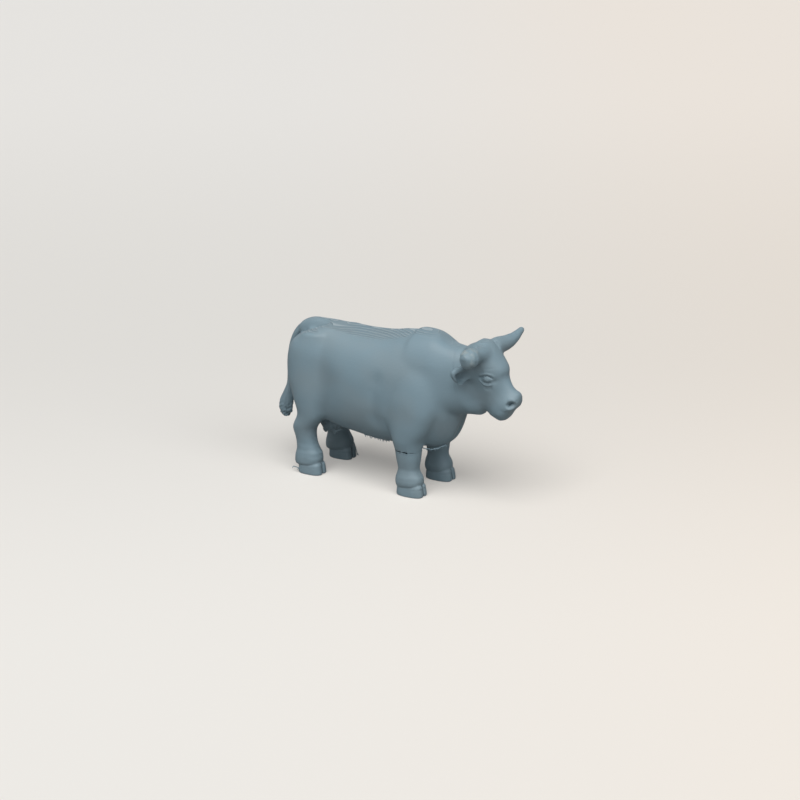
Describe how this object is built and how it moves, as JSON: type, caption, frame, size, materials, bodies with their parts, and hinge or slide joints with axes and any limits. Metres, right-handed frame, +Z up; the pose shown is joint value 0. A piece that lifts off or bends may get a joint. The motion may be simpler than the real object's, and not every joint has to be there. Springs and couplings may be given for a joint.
{
  "type": "toy cattle figure",
  "caption": "Small standing horned cattle figure in blue-grey printed plastic, glued from a body, head, horns, ears, lower legs, tail and udder over hidden dowels.",
  "frame": {"origin": "centre of the bounding box, on the ground under the figure", "axes": "+X towards the nose, +Y towards the figure's left side, +Z up"},
  "size_m": [0.0986, 0.0346, 0.0576],
  "materials": {
    "body": "satin, with fine horizontal layer lines",
    "head": "satin, with fine horizontal layer lines",
    "horn_left": "satin, with fine horizontal layer lines",
    "horn_right": "satin, with fine horizontal layer lines",
    "ear_left": "satin, with fine horizontal layer lines",
    "ear_right": "satin, with fine horizontal layer lines",
    "foreleg_left": "satin, with fine horizontal layer lines",
    "foreleg_right": "satin, with fine horizontal layer lines",
    "hindleg_left": "satin, with fine horizontal layer lines",
    "hindleg_right": "satin, with fine horizontal layer lines",
    "tail": "satin, with fine horizontal layer lines",
    "udder": "satin, with fine horizontal layer lines",
    "neck_dowel": "satin, with fine horizontal layer lines",
    "foreleg_dowel_left": "satin, with fine horizontal layer lines",
    "foreleg_dowel_right": "satin, with fine horizontal layer lines",
    "hindleg_dowel_left": "satin, with fine horizontal layer lines",
    "hindleg_dowel_right": "satin, with fine horizontal layer lines"
  },
  "bodies": {
    "root": {"body": "body", "head": "head", "horn_left": "horn_left", "horn_right": "horn_right", "ear_left": "ear_left", "ear_right": "ear_right", "foreleg_left": "foreleg_left", "foreleg_right": "foreleg_right", "hindleg_left": "hindleg_left", "hindleg_right": "hindleg_right", "tail": "tail", "udder": "udder", "neck_dowel": "neck_dowel", "foreleg_dowel_left": "foreleg_dowel_left", "foreleg_dowel_right": "foreleg_dowel_right", "hindleg_dowel_left": "hindleg_dowel_left", "hindleg_dowel_right": "hindleg_dowel_right"}
  },
  "joints": []
}
